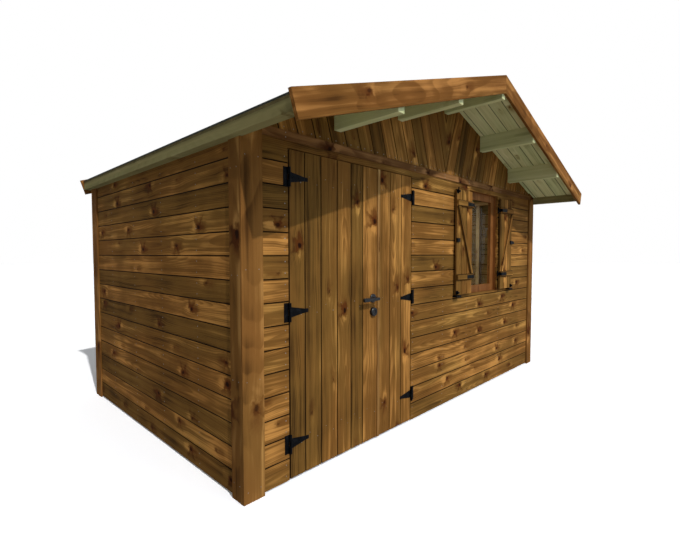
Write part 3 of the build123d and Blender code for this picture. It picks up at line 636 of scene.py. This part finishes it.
felt_low, felt_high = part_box("roof_felt")
felt_thick, felt_width, felt_lap, cap_width = 0.003, 1.0, 0.075, 0.25
clout_radius, clout_proud, clout_gap, clout_inset = 0.005, 0.0012, 0.05, 0.025
felt = bmesh.new()
clouts = bmesh.new()
past_ridge = -0.01   # lengths that reach the ridge run past it, and are cut there
for side in (-1, 1):
    slope = bmesh.new()
    lower = slope_length
    lengths = []
    while lower > felt_lap:
        lengths.append((max(lower - felt_width, past_ridge), lower))
        lower -= felt_width - felt_lap
    lengths.append((past_ridge, cap_width))
    for number, (upper, lower) in enumerate(lengths):
        lift = 0.0 if number == 0 else felt_thick
        made = bmesh.ops.create_cube(slope, size=1, matrix=Matrix.Translation(
            ((upper + lower) / 2, deck_thick + felt_thick / 2, 0)) @ Matrix.Diagonal(
            (lower - upper, felt_thick, felt_high.y - felt_low.y, 1)))
        for vert in made["verts"]:
            if number == len(lengths) - 1:
                vert.co.y += felt_thick
            elif vert.co.x > (upper + lower) / 2:
                vert.co.y += lift
    bmesh.ops.transform(slope, matrix=down_slope(side), verts=slope.verts)
    everything = slope.verts[:] + slope.edges[:] + slope.faces[:]
    cut = bmesh.ops.bisect_plane(slope, geom=everything, plane_co=(0, 0, 0), plane_no=(-side, 0, 0),
                                 clear_outer=True)
    edges = [item for item in cut["geom_cut"] if isinstance(item, bmesh.types.BMEdge)]
    bmesh.ops.holes_fill(slope, edges=edges, sides=0)
    gather(felt, slope)
    edge_top = ridge - eave * math.tan(pitch) + deck_thick / math.cos(pitch)
    bmesh.ops.create_cube(felt, size=1, matrix=Matrix.Translation(
        (side * (eave + felt_lip / 2), (felt_low.y + felt_high.y) / 2, edge_top - 0.001)) @ Matrix.Diagonal(
        (felt_lip, felt_high.y - felt_low.y, felt_lip_drop, 1)))
    for number, (_, lower) in enumerate(lengths):
        rise = deck_thick + felt_thick * (1 if number == 0 else 2)
        face = down_slope(side, -1) @ Matrix.Translation((0, -rise, 0))
        count = int((felt_high.y - felt_low.y - 2 * clout_inset) / clout_gap)
        for step in range(count + 1):
            y = felt_low.y + clout_inset + step * clout_gap
            stud(clouts, face, lower - clout_inset, side * -y, clout_radius, clout_proud, 6)
finished(felt, "felt_lengths", "shed", "felt", (felt_grey,), "roof_felt")
finished(clouts, "felt_clouts", "shed", "alloy", (zinc,))


# ---------------------------------------------------------------- wall frame and floor
# Sawn studs and plates, 45 mm square and left bare, behind the boards. Floor boards lie across
# six bearers.

coat(timber("bare_end_studs", bare_pine, "ZXY", knots=0.5), "end_studs")
coat(timber("bare_side_studs", bare_pine, "ZYX", knots=0.5), "side_studs")
coat(timber("bare_end_plates", bare_pine, "XZY", knots=0.5), "end_plates")
coat(timber("bare_side_plates", bare_pine, "YZX", knots=0.5), "side_plates")
coat(timber("treated_bearers", green_treated, "YXZ", knots=0.4), "floor_bearers")

floor_pine = timber("floor_boards", bare_pine)
low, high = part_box("floor_deck")
floor_board = 0.121
deck = bmesh.new()
walk = stand((0, 0, high.z), (1, 0, 0), (0, 0, -1))
for number in range(math.ceil((high.y - low.y) / floor_board)):
    a = low.y + number * floor_board
    lay(deck, walk, low.x, high.x, a, min(a + floor_board, high.y), high.z - low.z, arris=0.0015)
finished(deck, "floor_boards", "shed", "raw_wood", (floor_pine, floor_pine), "floor_deck")


# ---------------------------------------------------------------- window
# A stained joinery window: lining, sash and a single pane. The sash is closed by a handle inside.

window_stain = shades((66, 38, 18), (120, 74, 36), (164, 110, 58), (48, 24, 10), (72, 34, 13))
coat(timber("window_lining", window_stain, "ZXY", knots=0.0, clouds=0.4), "window_frame")
coat(timber("window_stiles", window_stain, "ZXY", knots=0.0, clouds=0.4, roughness=0.45), "window_sash")

pane, tree, shader, place = blank("window_glass")
dust = put(tree, "ShaderNodeTexNoise", Vector=place, Scale=9.0, Detail=4.0).outputs["Fac"]
shader.inputs["Base Color"].default_value = (0.93, 0.97, 0.95, 1)
shader.inputs["Transmission Weight"].default_value = 1
shader.inputs["IOR"].default_value = 1.06
tree.links.new(ease(tree, dust, 0.4, 0.8, 0.0, 0.04), shader.inputs["Roughness"])
lamp_ray = put(tree, "ShaderNodeLightPath").outputs["Is Shadow Ray"]
clear = put(tree, "ShaderNodeBsdfTransparent", Color=(0.9, 0.93, 0.92, 1))
mixed = put(tree, "ShaderNodeMixShader", _0=lamp_ray, _1=shader.outputs[0], _2=clear.outputs[0])
tree.links.new(mixed.outputs[0], tree.nodes["Material Output"].inputs["Surface"])
coat(pane, "window_glass")


# ---------------------------------------------------------------- doors
# Each leaf is upright boards, 19 mm thick, screwed to three ledges and two braces inside. The wide
# leaf carries a strip that covers the joint between the two.

hinge_levels = (0.221, 0.972, 1.725)
door_ledge_height = 0.095
left_low, left_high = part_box("left_door_boards")
right_low, right_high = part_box("right_door_boards")
upright = stand((0, left_low.y, 0), (0, 0, 1), (0, 1, 0))
door_face = stand((0, left_low.y, 0), (1, 0, 0), (0, 1, 0))
for name, body, edges in (
        ("left_door_boards", "left_door", (left_low.x, -1.569, -1.441, -1.303, -1.176, -1.061, left_high.x)),
        ("right_door_boards", "right_door", (right_low.x, -0.767, -0.631, right_high.x))):
    leaf = bmesh.new()
    for a, b in zip(edges, edges[1:]):
        lay(leaf, upright, left_low.z, left_high.z, -b, -a, left_high.y - left_low.y)
    finished(leaf, name.replace("boards", "leaf"), body, "stained_wood", both_sides, name)
    nails = bmesh.new()
    for a, b in zip(edges, edges[1:]):
        for level in hinge_levels:
            for share, up in ((0.27, 0.02), (0.73, -0.02)):
                stud(nails, door_face, a + share * (b - a), level + up, 0.0026, 0.0006)
    finished(nails, name.replace("boards", "nails"), body, "alloy", (zinc,))


def ledge_and_brace(bm, place, levels, height, x0, x1, lean, thick, arris):
    """Level ledges from the lowest up, and a brace between each two, which leans from x0 up to x1."""
    for level in levels:
        lay(bm, place, min(x0, x1), max(x0, x1), level, level + height, thick, arris=arris)
    for low, high in zip(levels, levels[1:]):
        bottom, top = low + height + 0.001, high - 0.001
        lean = math.copysign(lean, x1 - x0)
        run = Vector((x1 - x0 - lean, 0, top - bottom))
        brace = bmesh.new()
        across = lean * run.z / run.length
        slant = stand((x0, 0, bottom), run, (0, 1, 0))
        lay(brace, slant, -0.2, run.length + 0.2, *sorted((0, -across)), thick, arris=arris)
        saw(brace, (0, 0, bottom), (0, 0, -1))
        saw(brace, (0, 0, top), (0, 0, 1))
        bmesh.ops.transform(brace, matrix=place, verts=brace.verts)
        gather(bm, brace)


door_ledges = [level - door_ledge_height / 2 for level in hinge_levels]
for hand, lean_to in (("left", 1), ("right", -1)):
    low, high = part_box(hand + "_door_ledges")
    inside = stand((0, high.y, 0), (-1, 0, 0), (0, -1, 0))
    ledges = bmesh.new()
    x0, x1 = (-low.x, -high.x) if lean_to > 0 else (-high.x, -low.x)
    ledge_and_brace(ledges, inside, door_ledges, door_ledge_height, x0, x1, 0.095, high.y - low.y, 0.003)
    finished(ledges, hand + "_door_frame", hand + "_door", "stained_wood", (board_pine, board_pine),
             hand + "_door_ledges")

strip_stain = shades((92, 62, 30), (142, 102, 56), (190, 146, 92), (38, 19, 8), (102, 56, 24))
coat(timber("meeting_strip_pine", strip_stain, "ZXY", shift=0.3), "meeting_strip")


# ---------------------------------------------------------------- shutters
# Three upright boards each, with two ledges and a brace on the side that shows when they stand open.

shutter_ledges, shutter_ledge_height = (1.067, 1.716), 0.054
for hand in ("left", "right"):
    low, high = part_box(hand + "_shutter_boards")
    leaf = bmesh.new()
    upright = stand((0, low.y, 0), (0, 0, 1), (0, 1, 0))
    width = (high.x - low.x) / 3
    for number in range(3):
        lay(leaf, upright, low.z, high.z, -high.x + number * width, -high.x + (number + 1) * width,
            high.y - low.y, both=True)
    finished(leaf, hand + "_shutter_leaf", hand + "_shutter", "stained_wood", (board_pine, board_pine),
             hand + "_shutter_boards")
    low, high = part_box(hand + "_shutter_ledges")
    x0, x1 = (high.x, low.x) if hand == "left" else (low.x, high.x)
    ledges = bmesh.new()
    ledge_and_brace(ledges, stand((0, low.y, 0), (1, 0, 0), (0, 1, 0)), shutter_ledges,
                    shutter_ledge_height, x0, x1, 0.042, high.y - low.y, 0.008)
    finished(ledges, hand + "_shutter_frame", hand + "_shutter", "stained_wood", (board_pine, board_pine),
             hand + "_shutter_ledges")


# ---------------------------------------------------------------- ironwork
# Black powder-coated steel, slightly rough, with a little of the coat rubbed thin.

def blackened(name, dark, worn, gloss, rough, smooth):
    """A black coat with fine grit, worn a little paler and smoother in soft patches."""
    made, tree, shader, place = blank(name)
    grit = put(tree, "ShaderNodeTexNoise", Vector=place, Scale=900.0, Detail=2.0).outputs["Fac"]
    rubbed = put(tree, "ShaderNodeTexNoise", Vector=place, Scale=35.0, Detail=4.0).outputs["Fac"]
    colour = blend_colours(tree, ease(tree, rubbed, 0.45, 0.75), dark, worn)
    bump = put(tree, "ShaderNodeBump", Strength=0.25, Distance=0.0005, Height=grit)
    tree.links.new(colour, shader.inputs["Base Color"])
    tree.links.new(bump.outputs["Normal"], shader.inputs["Normal"])
    tree.links.new(ease(tree, rubbed, 0.3, 0.8, rough, smooth), shader.inputs["Roughness"])
    shader.inputs["Specular IOR Level"].default_value = gloss
    return made


iron = blackened("black_ironwork", tone(4, 4, 5), tone(17, 18, 20), 0.06, 0.62, 0.48)
coat(iron, "door_hinge_plates", "left_door_straps", "right_door_straps", "left_shutter_straps",
     "right_shutter_straps", "left_shutter_bolts", "right_shutter_bolts", "shutter_pintles",
     "shutter_keepers")
coat(blackened("satin_black_lever", tone(6, 6, 8), tone(26, 25, 27), 0.4, 0.42, 0.26),
     "lock_roses", "lever_handle")

# Screws: four up each wall plate of a door hinge and three along each strap.
knuckle, strap_thick = 0.006, 0.003
screw_radius, screw_proud = 0.0046, 0.0022
doors_middle = left_high.x
for name, body in (("left_door_straps", "left_door"), ("right_door_straps", "right_door"),
                   ("door_hinge_plates", "shed")):
    screws = bmesh.new()
    for low, high in lumps(name):
        side = 1 if low.x < doors_middle else -1
        level = (low.z + high.z) / 2
        if body == "shed":
            axis = (high.x - knuckle) if side > 0 else (low.x + knuckle)
            face = stand((0, front_y - strap_thick, 0), (1, 0, 0), (0, 1, 0))
            places = [(axis - side * 0.022, level + dz) for dz in (-0.042, -0.014, 0.014, 0.042)]
        else:
            axis = (low.x + knuckle) if side > 0 else (high.x - knuckle)
            face = stand((0, left_low.y - strap_thick, 0), (1, 0, 0), (0, 1, 0))
            places = [(axis + side * dx, level) for dx in (0.028, 0.072, 0.126)]
        for x, z in places:
            stud(screws, face, x, z, screw_radius, screw_proud, 10)
    name = name.replace("straps", "strap").replace("plates", "plate") + "_screws"
    finished(screws, name, body, "black_metal", (iron,))

alloy, tree, shader, place = blank("satin_alloy")
brushed = put(tree, "ShaderNodeMapping", Vector=place, Scale=(900, 900, 30)).outputs[0]
brushed = put(tree, "ShaderNodeTexNoise", Vector=brushed, Scale=1.0, Detail=2.0).outputs["Fac"]
tree.links.new(blend_colours(tree, brushed, tone(168, 170, 172), tone(206, 207, 207)),
               shader.inputs["Base Color"])
tree.links.new(ease(tree, brushed, 0.3, 0.7, 0.28, 0.44), shader.inputs["Roughness"])
shader.inputs["Metallic"].default_value = 0.9
coat(alloy, "window_catch")


# ---------------------------------------------------------------- floor, light and camera
# A plain pale floor, a clear high sun over the camera's left shoulder and an even sky.

def hang(name, data):
    """Puts the floor, a lamp or the camera in the scene."""
    made = bpy.data.objects.new(name, data)
    bpy.context.scene.collection.objects.link(made)
    return made


ground = bpy.data.meshes.new("ground")
bm = bmesh.new()
bmesh.ops.create_grid(bm, x_segments=1, y_segments=1, size=60)
bm.to_mesh(ground)
bm.free()
hang("ground", ground)
pale = bpy.data.materials.new("pale_floor")
pale.use_nodes = True
tree = pale.node_tree
tree.nodes.clear()
seen = put(tree, "ShaderNodeLightPath").outputs["Is Camera Ray"]
white = put(tree, "ShaderNodeBsdfDiffuse", Color=(1.4, 1.4, 1.4, 1))
glow = put(tree, "ShaderNodeEmission", Strength=0.05)
white = put(tree, "ShaderNodeAddShader", _0=white.outputs[0], _1=glow.outputs[0])
grey = put(tree, "ShaderNodeBsdfDiffuse", Color=(0.60, 0.60, 0.60, 1))
mixed = put(tree, "ShaderNodeMixShader", _0=seen, _1=grey.outputs[0], _2=white.outputs[0])
put(tree, "ShaderNodeOutputMaterial", Surface=mixed.outputs[0])
ground.materials.append(pale)

world = bpy.data.worlds.new("even_sky")
bpy.context.scene.world = world
world.use_nodes = True
tree = world.node_tree
tree.nodes.clear()
path = put(tree, "ShaderNodeLightPath").outputs
seen = calc(tree, "MAXIMUM", path["Is Camera Ray"], calc(tree, "MAXIMUM", path["Is Glossy Ray"],
                                                       path["Is Transmission Ray"]))
sky = put(tree, "ShaderNodeBackground", Color=(0.97, 0.985, 1, 1), Strength=0.22)
backdrop = put(tree, "ShaderNodeBackground", Color=(1, 1, 1, 1), Strength=1.0)
mixed = put(tree, "ShaderNodeMixShader", _0=seen, _1=sky.outputs[0], _2=backdrop.outputs[0])
put(tree, "ShaderNodeOutputWorld", Surface=mixed.outputs[0])

lamp = bpy.data.lights.new("sun", "SUN")
lamp.energy = 2.2
lamp.angle = math.radians(0.9)
sun = hang("sun", lamp)
sun.rotation_euler = Vector((0.147, 0.712, -0.686)).to_track_quat("-Z", "Y").to_euler()

# Light thrown back from the front, very soft, which lifts the shade under the roof.
lamp = bpy.data.lights.new("front_fill", "SUN")
lamp.energy = 1.5
lamp.color = (0.62, 0.84, 1.15)
lamp.angle = math.radians(80)
fill = hang("front_fill", lamp)
fill.rotation_euler = Vector((-0.15, 1.0, -0.12)).to_track_quat("-Z", "Y").to_euler()

# Daylight in the room, as it comes in through open doors.
lamp = bpy.data.lights.new("room_light", "AREA")
lamp.shape = "RECTANGLE"
lamp.size, lamp.size_y = 3.2, 1.8
lamp.energy = 28
lamp.color = (1.0, 0.93, 0.8)
room = hang("room_light", lamp)
room.location = (0, 0.2, 2.0)
room.visible_camera = False
room.visible_glossy = False
room.visible_transmission = False

lens = bpy.data.cameras.new("camera")
lens.lens = 21.89
lens.sensor_width = 36
camera = hang("camera", lens)
camera.location = (-3.140, -2.831, 1.299)
camera.rotation_euler = (math.radians(90 - 2.49), math.radians(0.04), math.radians(-45.736))
bpy.context.scene.camera = camera
bpy.context.scene.view_settings.view_transform = "Standard"
